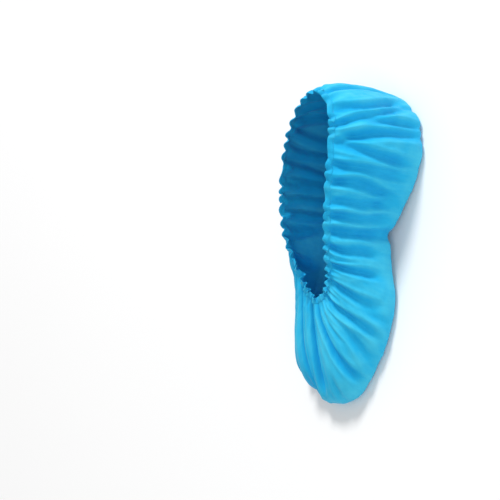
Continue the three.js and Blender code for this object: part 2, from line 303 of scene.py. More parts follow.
@dataclass
class CoverForm:
    """The smooth form of the bag, in millimetres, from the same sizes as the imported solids."""

    sole_length: float = 307.0
    ball_width: float = 119.0
    right_width: float = 0.95
    edge_round: float = 7.0
    arch_lift: float = 8.0
    arch_middle: float = -0.1
    arch_reach: float = 0.42
    mouth_length: float = 200.0
    mouth_width: float = 70.0
    mouth_setback: float = 40.0
    mouth_height: float = 100.0
    mouth_shift: float = -3.0
    tip_shift: float = 5.0
    tip_from: float = 0.3
    belly: float = 4.0
    evenness: float = 0.5
    frame_shift: Point = (0.356, -1.497, 0.285)
    arc_steps: int = 800
    sole_rows: np.ndarray = field(init=False)
    mouth_rows: np.ndarray = field(init=False)
    shape_rows: np.ndarray = field(init=False)
    mouth_arc: np.ndarray = field(init=False)

    def __post_init__(self) -> None:
        """Lays out the rows of the three loops and measures the opening's edge."""
        self.sole_rows = self._both_sides(SOLE_EDGE, self._sole_point)
        self.mouth_rows = self._both_sides(MOUTH_EDGE, self._mouth_point)
        self.shape_rows = self._both_sides(WALL, self._wall_numbers)
        edge = closed_curve(self.mouth_rows, np.linspace(0.0, 1.0, self.arc_steps + 1))
        steps = np.linalg.norm(np.diff(edge, axis=0), axis=1)
        self.mouth_arc = np.concatenate([[0.0], np.cumsum(steps)]) / steps.sum()

    @staticmethod
    def _both_sides(rows: tuple, numbers_of: Callable[..., tuple[float, ...]]) -> np.ndarray:
        """Turns half a table into the rows of a closed loop.

        Args:
            rows: the left half, from the toe to the heel.
            numbers_of: a function of a row and its side, 1 or -1.

        Returns:
            An array with one row for each place of the loop.
        """
        left = [numbers_of(row, 1) for row in rows]
        right = [numbers_of(row, -1) for row in rows[1:-1]]
        return np.array(left + right[::-1], float)

    def _sole_point(self, row: EdgePlace, side: int) -> Point:
        """Places one row on the sole's edge."""
        wide = 1.0 if side > 0 else -self.right_width
        return (row.at * self.sole_length / 2, wide * row.out * self.ball_width / 2, 0.0)

    def _mouth_point(self, row: EdgePlace, side: int) -> Point:
        """Places one row on the opening's edge.

        Args:
            row: the row of the table.
            side: 1 for the left side and -1 for the right.

        Returns:
            The point, in millimetres.
        """
        to_tip = float(smoothstep(np.array(row.at), self.tip_from, 1.0))
        shift = self.mouth_shift + (self.tip_shift - self.mouth_shift) * to_tip
        return (
            row.at * self.mouth_length / 2 - self.mouth_setback,
            side * row.out * self.mouth_width / 2 + shift,
            row.up * self.mouth_height,
        )

    @staticmethod
    def _wall_numbers(row: WallShape, _side: int) -> tuple[float, ...]:
        """Reads one row of the wall's shape, which is the same on both sides."""
        return (row.shoulder, row.drop, row.rise, row.belly)

    def place_at(self, share: np.ndarray) -> np.ndarray:
        """Turns a share of the way round into a place on the loops."""
        even = np.interp(np.mod(share, 1.0), self.mouth_arc, np.linspace(0.0, 1.0, self.arc_steps + 1))
        return np.mod(share, 1.0) * (1.0 - self.evenness) + even * self.evenness

    def lift(self, x: np.ndarray) -> np.ndarray:
        """How far the sole is lifted under the arch at x."""
        off = np.minimum(1.0, np.abs(x / (self.sole_length / 2) - self.arch_middle) / self.arch_reach)
        return self.arch_lift * (1.0 + np.cos(math.pi * off)) / 2.0

    def sole_normal(self, share: np.ndarray) -> np.ndarray:
        """Finds the level direction that points out of the sole's edge.

        Args:
            share: places round the bag, 0 to 1.

        Returns:
            A direction of length 1 for each place.
        """
        step = 0.002
        place = self.place_at(share)
        run = closed_curve(self.sole_rows, place + step) - closed_curve(self.sole_rows, place - step)
        return unit(np.stack([run[..., 1], -run[..., 0], np.zeros(run.shape[:-1])], axis=-1))

    def wall_point(self, share: np.ndarray, down: np.ndarray) -> np.ndarray:
        """Finds points of the smooth wall.

        Args:
            share: places round the bag, 0 to 1.
            down: places down the wall, 0 at the opening and 1 at the sole.

        Returns:
            Points in millimetres.
        """
        place = self.place_at(share)
        rim = closed_curve(self.mouth_rows, place)
        foot = closed_curve(self.sole_rows, place)
        foot[..., 2] = self.lift(foot[..., 0]) + self.edge_round
        shape = closed_curve(self.shape_rows, place)
        height = rim[..., 2] - foot[..., 2]
        near = rim + (foot - rim) * shape[..., 0:1]
        near[..., 2] = rim[..., 2] - height * shape[..., 1]
        low = foot + self.sole_normal(share) * (self.belly * shape[..., 3:4])
        low[..., 2] += height * shape[..., 2]
        run = np.asarray(down, float)[..., None]
        back = 1.0 - run
        return back**3 * rim + 3 * back**2 * run * near + 3 * back * run**2 * low + run**3 * foot

    def wall_normal(self, share: np.ndarray, down: np.ndarray) -> np.ndarray:
        """Finds the direction that points out of the smooth wall.

        Args:
            share: places round the bag, 0 to 1.
            down: places down the wall, 0 to 1.

        Returns:
            A direction of length 1 for each place.
        """
        step = 0.004
        across = self.wall_point(share + step, down) - self.wall_point(share - step, down)
        low, high = np.maximum(0.0, down - step), np.minimum(1.0, down + step)
        along = self.wall_point(share, high) - self.wall_point(share, low)
        return unit(np.cross(along, across))


@dataclass(frozen=True)
class Tucks:
    """Small folds that start at the elastic, follow the long folds and end at different depths."""

    seed: int = 14
    count: int = 120
    depth: float = 1.5
    shallowest: float = 0.35
    reaches: tuple[float, ...] = (0.14, 0.3, 0.6, 0.95)
    reach_odds: tuple[float, ...] = (0.35, 0.35, 0.2, 0.1)
    reach_spread: float = 0.2
    widths: tuple[float, float] = (0.0030, 0.0046)
    widening: float = 0.5
    scatter: float = 0.45
    lean: float = 0.006
    fade_from: float = 0.35
    rim_share: float = 0.35
    rim_run: float = 0.08
    ridge_share: float = 0.45
    ridge_out: float = 1.7
    ridge_width: float = 0.7

    def at(self, rim: np.ndarray, down: np.ndarray) -> np.ndarray:
        """Adds up the tucks.

        Args:
            rim: the places at the opening that the long folds lead to.
            down: places down the wall, 0 to 1.

        Returns:
            How far the cloth stands out, in millimetres.
        """
        rng = np.random.default_rng(self.seed)
        total = np.zeros(rim.shape)
        begin = self.rim_share + (1.0 - self.rim_share) * smoothstep(down, 0.0, self.rim_run)
        for number in range(self.count):
            centre = (number + rng.uniform(-self.scatter, self.scatter)) / self.count
            reach = rng.choice(self.reaches, p=self.reach_odds)
            reach *= rng.uniform(1.0 - self.reach_spread, 1.0 + self.reach_spread)
            width = rng.uniform(*self.widths) * (1.0 + self.widening * reach)
            depth = self.depth * rng.uniform(self.shallowest, 1.0)
            gap = gap_round(rim, centre + rng.normal(0.0, self.lean) * down)
            fade = 1.0 - smoothstep(down, self.fade_from * reach, reach)
            ridge = bell(gap + self.ridge_out * width, self.ridge_width * width)
            total += depth * fade * begin * (self.ridge_share * ridge - bell(gap, width))
        return total


@dataclass(frozen=True)
class Strays:
    """Short creases away from the elastic, most of them nearly along the folds."""

    seed: int = 16
    count: int = 130
    depth: float = 0.8
    shallowest: float = 0.3
    span: tuple[float, float] = (0.3, 1.05)
    slant: float = 0.022
    lengths: tuple[float, float] = (0.07, 0.24)
    widths: tuple[float, float] = (0.0026, 0.0052)
    raised: float = 0.35

    def at(self, rim: np.ndarray, down: np.ndarray) -> np.ndarray:
        """Adds up the creases.

        Args:
            rim: the places at the opening that the long folds lead to.
            down: places down the wall, 0 to 1.

        Returns:
            How far the cloth stands out, in millimetres.
        """
        rng = np.random.default_rng(self.seed)
        total = np.zeros(rim.shape)
        for _ in range(self.count):
            centre, middle = rng.uniform(0.0, 1.0), rng.uniform(*self.span)
            slant = rng.normal(0.0, self.slant)
            length, width = rng.uniform(*self.lengths), rng.uniform(*self.widths)
            depth = self.depth * rng.uniform(self.shallowest, 1.0)
            depth *= rng.choice([-1.0, 1.0], p=[1.0 - self.raised, self.raised])
            gap = gap_round(rim, centre + slant * (down - middle))
            total += depth * bell(down - middle, length) * bell(gap, width)
        return total


@dataclass
class Gathers:
    """How far the cloth stands in or out of its smooth form, in millimetres."""

    form: CoverForm
    tucks: Tucks = Tucks()
    strays: Strays = Strays()
    wander: WavyNoise = WavyNoise(seed=11, round_low=3, round_high=14, down_high=1.6)
    crowding: WavyNoise = WavyNoise(seed=12, round_low=3, round_high=16, down_high=0.0)
    unevenness: WavyNoise = WavyNoise(seed=13, round_low=4, round_high=24, down_high=0.0)
    crumpling: WavyNoise = WavyNoise(seed=17, round_low=20, round_high=70, down_high=9.0, waves=60)
    fold_depth: float = 6.5
    fold_crest: float = 0.45
    fold_at_rim: float = 0.25
    fold_growth: float = 5.5
    fold_tail: float = 0.3
    fold_fade: float = 0.2
    right_shift: float = 0.011
    right_depth: float = 0.85
    right_from: float = 0.225
    soft_share: float = 0.5
    crease_share: float = 0.62
    crease_narrow: float = 0.42
    ridge_height: float = 1.8
    ridge_out: float = 0.0095
    ridge_width: float = 0.0038
    far_ridge: float = 0.75
    meander: float = 0.0015
    ruffles: int = 44
    ruffle_crowding: float = 1.8
    ruffle_depth: float = 0.9
    ruffle_evenness: float = 0.7
    ruffle_rise: float = 1.25
    ruffle_run: float = 0.07
    crumple: float = 0.16
    crumple_from: float = 0.25

    def all_folds(self) -> list[Fold]:
        """Lists the long folds; behind the toe the far side has the near side's, a little shifted.

        Returns:
            The folds of both sides.
        """
        right = [
            Fold(
                1.0 - fold.rim - self.right_shift,
                1.0 - fold.foot - self.right_shift,
                -fold.bow,
                fold.depth * self.right_depth,
                fold.width,
                fold.start,
                fold.reach,
            )
            for fold in LEFT_FOLDS
            if fold.rim > self.right_from
        ]
        return [*TOE_FOLDS, *LEFT_FOLDS, *right]

    def _along(self, fold: Fold, down: np.ndarray) -> np.ndarray:
        """Says how whole a fold is at each place down the wall.

        Args:
            fold: the fold.
            down: places down the wall, 0 to 1.

        Returns:
            Shares, 1 where the fold is whole.
        """
        grown = smoothstep(down, fold.start - self.fold_tail, fold.start)
        left = 1.0 - smoothstep(down, fold.reach - self.fold_tail, fold.reach)
        return grown * left * (1.0 - self.fold_fade * down)

    def rim_of(self, place: np.ndarray, down: np.ndarray) -> np.ndarray:
        """Follows the folds back to the opening.

        Args:
            place: places round the bag, one row for each ring.
            down: how far down the wall each place is, the same along a row.

        Returns:
            The places at the opening that the folds lead to.
        """
        whole = sorted(
            (fold for fold in self.all_folds() if fold.start == 0.0), key=lambda fold: fold.rim % 1.0
        )
        rims = np.array([fold.rim % 1.0 for fold in whole])
        found = np.empty(place.shape)
        for row in range(len(place)):
            leans = np.array([float(fold.centre(down[row, 0])) - fold.rim for fold in whole])
            ahead = np.concatenate([rims + leans - 1.0, rims + leans, rims + leans + 1.0])
            ahead = np.maximum.accumulate(ahead)
            found[row] = np.interp(place[row], ahead, np.concatenate([rims - 1.0, rims, rims + 1.0]))
        return found

    def long_folds(self, place: np.ndarray, down: np.ndarray) -> np.ndarray:
        """Adds up the long folds: a soft hollow, a crisp crease in it and a thin ridge on each side.

        Args:
            place: places on the loops, 0 to 1.
            down: places down the wall, 0 to 1.

        Returns:
            How far the cloth stands out, in millimetres.
        """
        wander = self.meander * self.wander.at(place, down)
        total = np.zeros(place.shape)
        for fold in self.all_folds():
            gap = gap_round(place, fold.centre(down) + wander)
            whole = self._along(fold, down) * fold.depth
            hollow = self.soft_share * bell(gap, fold.width)
            hollow += self.crease_share * bell(gap, fold.width * self.crease_narrow)
            ridges = bell(gap - self.ridge_out, self.ridge_width)
            ridges += self.far_ridge * bell(gap + self.ridge_out, self.ridge_width)
            total += whole * (self.fold_depth * hollow - self.ridge_height * ridges)
        for ridge in RIDGES:
            gap = gap_round(place, ridge.centre(down) + wander)
            total -= self.ridge_height * self._along(ridge, down) * ridge.depth * bell(gap, ridge.width)
        growth = np.minimum(1.0, self.fold_at_rim + self.fold_growth * down)
        return (self.fold_depth * self.fold_crest - total) * growth

    @staticmethod
    def dents(share: np.ndarray, down: np.ndarray) -> np.ndarray:
        """Adds up how far the dents draw the cloth in.

        Args:
            share: places round the bag, 0 to 1.
            down: places down the wall, 0 to 1.

        Returns:
            Depths in millimetres.
        """
        total = np.zeros(share.shape)
        for dent in DENTS:
            across = bell(gap_round(share, dent.share), dent.share_radius)
            total += dent.depth * across * bell(down - dent.down, dent.down_radius)
        return total

    def ruffle_phase(self, share: np.ndarray) -> np.ndarray:
        """The ruffles' phase round the opening, crowded and spread a little."""
        crowded = self.ruffle_crowding * self.crowding.at(share, 0.0)
        return 2.0 * math.pi * self.ruffles * share + crowded

    def ruffle(self, share: np.ndarray, down: np.ndarray) -> np.ndarray:
        """Makes the ruffles of the gathered edge, which die away just below it.

        Args:
            share: places round the bag, 0 to 1.
            down: places down the wall, 0 to 1.

        Returns:
            How far the cloth stands out, in millimetres.
        """
        uneven = (1.0 - self.ruffle_evenness) * self.unevenness.at(share, 0.0)
        height = self.ruffle_depth * (self.ruffle_evenness + uneven)
        return height * np.sin(self.ruffle_phase(share)) * np.exp(-down / self.ruffle_run)

    def at(self, share: np.ndarray, down: np.ndarray) -> np.ndarray:
        """Adds up all gathers.

        Args:
            share: places round the bag, 0 to 1.
            down: places down the wall, 0 to 1.

        Returns:
            How far the cloth stands out, in millimetres.
        """
        place = self.form.place_at(share)
        rim = self.rim_of(place, down)
        crumple = self.crumple * self.crumpling.at(place, down)
        small = self.tucks.at(rim, down) + self.strays.at(rim, down)
        small += crumple * smoothstep(down, 0.0, self.crumple_from)
        return self.long_folds(place, down) + self.ruffle(share, down) + small - self.dents(share, down)


def new_object(name: str, mesh: bpy.types.Mesh) -> bpy.types.Object:
    """Adds an object for a mesh to the scene.

    Args:
        name: the object's name.
        mesh: its mesh.

    Returns:
        The object, at the origin.
    """
    piece = bpy.data.objects.new(name, mesh)
    bpy.context.scene.collection.objects.link(piece)
    return piece


def mesh_of(name: str, points: np.ndarray, quads: np.ndarray, tris: np.ndarray) -> bpy.types.Mesh:
    """Makes a smooth mesh from points in millimetres.

    Args:
        name: the mesh's name.
        points: corners in millimetres.
        quads: faces of four corners.
        tris: faces of three corners.

    Returns:
        The mesh, in metres.
    """
    mesh = bpy.data.meshes.new(name)
    faces = [tuple(face) for face in quads.tolist()] + [tuple(face) for face in tris.tolist()]
    mesh.from_pydata((points * MM).tolist(), [], faces)
    mesh.shade_smooth()
    mesh.update()
    return mesh


def store_fold_shade_mask(mesh: bpy.types.Mesh, stand: np.ndarray, depth: float) -> None:
    """Stores on a mesh's points how deep in a fold each one lies, from 0 in a valley to 1 on a crest, which
    the colour turns into painted shade in the valleys and painted light on the crests.

    Args:
        mesh: the mesh to mark.
        stand: how far each point stands out, in millimetres.
        depth: the depth of a whole fold, in millimetres.
    """
    layer = mesh.attributes.new("fold", "FLOAT", "POINT")
    layer.data.foreach_set("value", np.clip(0.5 + stand / (2.0 * depth), 0.0, 1.0).astype(np.float32))


@dataclass
class ClothMap:
    """A flat map of the cloth, laid over a mesh whose points run round in columns."""

    mesh: bpy.types.Mesh
    name: str = "cloth_map"
    corner: np.ndarray = field(init=False)
    starts: np.ndarray = field(init=False)
    sizes: np.ndarray = field(init=False)

    def __post_init__(self) -> None:
        """Reads which point each corner of each face lies on."""
        self.corner = np.zeros(len(self.mesh.loops), dtype=np.int32)
        self.starts = np.zeros(len(self.mesh.polygons), dtype=np.int32)
        self.sizes = np.zeros(len(self.mesh.polygons), dtype=np.int32)
        self.mesh.loops.foreach_get("vertex_index", self.corner)
        self.mesh.polygons.foreach_get("loop_start", self.starts)
        self.mesh.polygons.foreach_get("loop_total", self.sizes)

    def unrolled(self, column: np.ndarray, count: int) -> np.ndarray:
        """Numbers the first column as one past the last in the faces that close the round.

        Args:
            column: the column of each corner, 0 to count - 1.
            count: how many columns there are.

        Returns:
            The columns, 0 to count.
        """
        furthest = np.repeat(np.maximum.reduceat(column, self.starts), self.sizes)
        return np.where((column < 1) & (furthest > count / 2), column + count, column)

    def lay(self, across: np.ndarray, along: np.ndarray) -> None:
        """Stores the map.

        Args:
            across: millimetres round the cloth at each corner.
            along: millimetres down the cloth at each corner.
        """
        layer = self.mesh.uv_layers.new(name=self.name)
        places = np.stack([across, along], axis=-1) * (1.0 / MAP_UNIT)
        layer.data.foreach_set("uv", places.astype(np.float32).ravel())


@dataclass(frozen=True)
class SoleCreases:
    """Soft creases that lift the sole's cloth a little off the floor, in millimetres."""

    seed: int = 18
    count: int = 40
    half_length: float = 130.0
    half_width: float = 40.0
    turn: float = 0.5
    lengths: tuple[float, float] = (12.0, 45.0)
    widths: tuple[float, float] = (4.0, 8.0)
    heights: tuple[float, float] = (0.4, 1.3)
    # lifts above this are painted lighter and lower ones painted darker, as painted light and shade
    middle: float = 0.5

    def at(self, x: np.ndarray, y: np.ndarray) -> np.ndarray:
        """Adds up the creases.

        Args:
            x: places along the sole.
            y: places across the sole.

        Returns:
            How far the cloth is lifted.
        """
        rng = np.random.default_rng(self.seed)
        rise = np.zeros(x.shape)
        for _ in range(self.count):
            middle_x = rng.uniform(-self.half_length, self.half_length)
            middle_y = rng.uniform(-self.half_width, self.half_width)
            turn = rng.normal(0.0, self.turn)
            length, width = rng.uniform(*self.lengths), rng.uniform(*self.widths)
            run = (x - middle_x) * math.cos(turn) + (y - middle_y) * math.sin(turn)
            off = (y - middle_y) * math.cos(turn) - (x - middle_x) * math.sin(turn)
            rise += rng.uniform(*self.heights) * bell(run, length) * bell(off, width)
        return rise


@dataclass
class CoverBag:
    """The bag of cloth: a fine grid of the wall, round under the sole's edge and across the sole."""

    form: CoverForm
    gathers: Gathers
    creases: SoleCreases = SoleCreases()
    around: int = 640
    wall_rows: int = 58
    rim_crowd: float = 1.2
    edge_rows: int = 5
    sole_columns: int = 14
    cloth: float = 0.7
    flat_width: float = 0.30
    flat_length: float = 0.38
    mid_wall: float = 0.65
    sole_map_clear: float = 3.0
    outside: np.ndarray = field(init=False)
    # how far each point of the outer rings stands out; the colour paints shade and light from it
    folds: np.ndarray = field(init=False)

    def outside_rings(self) -> np.ndarray:
        """Makes rings of the cloth's outer face, from the opening down and round under the sole's edge.

        Returns:
            Points in rings, in millimetres.
        """
        share = np.arange(self.around)[None, :] / self.around
        down = (np.arange(self.wall_rows + 1)[:, None] / self.wall_rows) ** self.rim_crowd
        share, down = np.broadcast_arrays(share, down)
        stand = self.gathers.at(share, down)
        points = self.form.wall_point(share, down)
        ups = self.gathers.ruffle_rise * np.cos(self.gathers.ruffle_phase(share))
        points[..., 2] += ups * np.exp(-down / self.gathers.ruffle_run)
        points += self.form.wall_normal(share, down) * stand[..., None]
        normal = self.form.sole_normal(share[0])
        rings, masks = [points], [stand]
        for row in range(1, self.edge_rows + 1):
            turn = math.pi / 2 * row / self.edge_rows
            under = points[-1] - normal * (self.form.edge_round * (1 - math.cos(turn)))
            under[:, 2] -= self.form.edge_round * math.sin(turn)
            rings.append(under[None])
            masks.append(stand[-1][None])
        self.folds = np.concatenate(masks)
        return np.concatenate(rings)

    @staticmethod
    def _ring_normals(rings: np.ndarray) -> np.ndarray:
        """Finds the directions out of the cloth.

        Args:
            rings: points in rings.

        Returns:
            A direction of length 1 for each point, and straight down for the last ring.
        """
        across = np.roll(rings, -1, axis=1) - np.roll(rings, 1, axis=1)
        along = np.gradient(rings, axis=0)
        outwards = unit(np.cross(along, across))
        outwards[-1] = (0.0, 0.0, -1.0)
        return outwards

    def build(self) -> bpy.types.Object:
        """Builds the bag as one closed body of cloth.

        Returns:
            The bag's object.
        """
        rings = self.outside_rings() + np.array(self.form.frame_shift)
        normals = self._ring_normals(rings)
        shift = np.full((len(rings), 1, 1), self.mid_wall - self.cloth / 2)
        shift[-1] = 0.0
        outer = rings - normals * shift
        inner = outer - normals * self.cloth
        self.outside = outer
        layer_points, layer_masks = [], []
        for rows in (outer, inner):
            sole, masks = self._sole_grid(rows[-1])
            layer_points.append(np.concatenate([rows.reshape(-1, 3), sole]))
            layer_masks.append(np.concatenate([self.folds.reshape(-1), masks]))
        quads, tris = self._faces(len(rings), len(layer_points[0]))
        mesh = mesh_of("cover_bag_cloth", np.concatenate(layer_points), quads, tris)
        self._mark(mesh, np.concatenate(layer_masks), len(rings))
        return new_object("cover_bag_cloth", mesh)

    def _sole_grid(self, edge: np.ndarray) -> tuple[np.ndarray, np.ndarray]:
        """Makes the points inside the sole's last ring.

        Args:
            edge: the last ring, whose two halves face each other.

        Returns:
            The points and their fold masks, which paint light on the lifted creases and shade on the flat
            sole.
        """
        half = self.around // 2
        left = edge[1:half]
        right = edge[: half - 1 : -1][: half - 1]
        across = (np.arange(1, self.sole_columns) / self.sole_columns)[None, :, None]
        points = left[:, None] * (1 - across) + right[:, None] * across
        rise = self.creases.at(points[..., 0], points[..., 1])
        points[..., 2] += rise * np.sin(math.pi * across[..., 0])
        return points.reshape(-1, 3), (rise - self.creases.middle).reshape(-1)

    def _sole_row(self, row: int, rings: int) -> list[int]:
        """Lists the points across the sole at one row, from the left edge to the right edge.

        Args:
            row: the row, 0 at the toe.
            rings: how many rings a layer has.

        Returns:
            Point numbers, all the same at the toe and at the heel.
        """
        base = (rings - 1) * self.around
        if row in (0, self.around // 2):
            return [base + row] * (self.sole_columns + 1)
        inside = self.sole_columns - 1
        start = rings * self.around + (row - 1) * inside
        return [base + row, *range(start, start + inside), base + self.around - row]

    def _faces(self, rings: int, stride: int) -> tuple[np.ndarray, np.ndarray]:
        """Lists the faces of both layers, the rim between them and the sole.

        Args:
            rings: how many rings a layer has.
            stride: how many points a layer has.

        Returns:
            Arrays of four-cornered and three-cornered faces.
        """
        here = np.arange(self.around)
        ahead = (here + 1) % self.around
        rows = np.arange(rings - 1)[:, None] * self.around
        below = rows + self.around
        wall = np.stack([rows + here, below + here, below + ahead, rows + ahead], axis=-1)
        quads, tris = wall.reshape(-1, 4).tolist(), []
        for row in range(self.around // 2):
            first, second = self._sole_row(row, rings), self._sole_row(row + 1, rings)
            for k in range(self.sole_columns):
                corners = list(dict.fromkeys([first[k], first[k + 1], second[k + 1], second[k]]))
                if len(corners) == 4:
                    quads.append(corners)
                elif len(corners) == 3:
                    tris.append(corners)
        outer_quads, outer_tris = np.array(quads), np.array(tris)
        rim = np.stack([here, ahead, ahead + stride, here + stride], axis=-1)
        all_quads = np.concatenate([outer_quads, outer_quads[:, ::-1] + stride, rim])
        return all_quads, np.concatenate([outer_tris, outer_tris[:, ::-1] + stride])

    def _mark(self, mesh: bpy.types.Mesh, masks: np.ndarray, rings: int) -> None:
        """Stores the fold mask, which paints shade into the valleys and light onto the crests, and a map of
        the cloth on the mesh.

        Args:
            mesh: the bag's mesh.
            masks: how far each point stands out, in millimetres.
            rings: how many rings a layer has.
        """
        store_fold_shade_mask(mesh, masks, self.gathers.fold_depth)
        cloth_map = ClothMap(mesh)
        place = cloth_map.corner % (len(mesh.vertices) // 2)
        girth = np.linalg.norm(np.diff(self.outside[rings // 2], axis=0), axis=1).sum()
        fall = np.linalg.norm(np.diff(self.outside, axis=0), axis=2).mean(axis=1)
        depth = np.concatenate([[0.0], np.cumsum(fall)])
        on_wall = place < rings * self.around
        column = cloth_map.unrolled((place % self.around).astype(float), self.around)
        points = np.zeros(len(mesh.vertices) * 3, dtype=np.float32)
        mesh.vertices.foreach_get("co", points)
        flat = points.reshape(-1, 3)[cloth_map.corner] / MM
        row = np.minimum(place // self.around, rings - 1)
        clear_of_wall = self.sole_map_clear * depth[-1]
        cloth_map.lay(
            np.where(on_wall, column / self.around * girth, flat[:, 0]),
            np.where(on_wall, depth[row], flat[:, 1] + clear_of_wall),
        )

    @staticmethod
    def dress(piece: bpy.types.Object, material: bpy.types.Material) -> None:
        """Gives the bag its cloth and its place in the frame.

        Args:
            piece: the bag's object.
            material: the cloth.
        """
        piece.data.materials.append(material)
        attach(piece, "root")
        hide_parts("cover_bag")


@dataclass
class NodeTree:
    """A node tree that is built link by link."""

    tree: bpy.types.NodeTree

    def add(self, kind: str, **settings: object) -> bpy.types.Node:
        """Adds a node.

        Args:
            kind: Blender's name of the node type.
            **settings: the node's own properties.

        Returns:
            The node.
        """
        node = self.tree.nodes.new(kind)
        for name, value in settings.items():
            setattr(node, name, value)
        return node

    def link(self, start: bpy.types.NodeSocket, end: bpy.types.NodeSocket) -> None:
        """Joins an output to an input."""
        self.tree.links.new(start, end)

    def give(self, socket: bpy.types.NodeSocket, value: SocketOrNumber | Colour | None) -> None:
        """Gives an input its value.

        Args:
            socket: the input.
            value: an output to join to it, a constant, or nothing to leave it as it is.
        """
        if isinstance(value, bpy.types.NodeSocket):
            self.link(value, socket)
        elif value is not None:
            socket.default_value = value

    def math(
        self, operation: str, first: SocketOrNumber, second: SocketOrNumber | None = None, clamp: bool = False
    ) -> bpy.types.NodeSocket:
        """Adds a Math node.

        Args:
            operation: the Math node's operation.
            first: a socket or a number.
            second: a socket or a number, or nothing.
            clamp: whether the result is kept from 0 to 1.

        Returns:
            The result's socket.
        """
        node = self.add("ShaderNodeMath", operation=operation, use_clamp=clamp)
        self.give(node.inputs[0], first)
        self.give(node.inputs[1], second)
        return node.outputs[0]

    def mix(
        self, share: SocketOrNumber, first: bpy.types.NodeSocket, second: bpy.types.NodeSocket
    ) -> bpy.types.NodeSocket:
        """Adds a Mix node for colours.

        Args:
            share: a socket or a number, 0 for the first colour and 1 for the second.
            first: the first colour's socket.
            second: the second colour's socket.

        Returns:
            The mixed colour's socket.
        """
        node = self.add("ShaderNodeMix", data_type="RGBA", clamp_factor=True)
        # the node has its colours on inputs 6 and 7 and their mix on output 2
        for number, value in ((0, share), (6, first), (7, second)):
            self.give(node.inputs[number], value)
        return node.outputs[2]

    def noise(
        self, dimensions: str, scale: float, detail: float, place: bpy.types.NodeSocket
    ) -> bpy.types.NodeSocket:
        """Adds a Noise Texture.

        Args:
            dimensions: 2D or 3D.
            scale: how fine the noise is.
            detail: how many finer layers it has.
            place: the coordinates.

        Returns:
            The noise's socket, about 0.5 in the middle.
        """
        node = self.add("ShaderNodeTexNoise", noise_dimensions=dimensions)
        node.inputs["Scale"].default_value = scale
        node.inputs["Detail"].default_value = detail
        self.link(place, node.inputs["Vector"])
        return node.outputs[0]


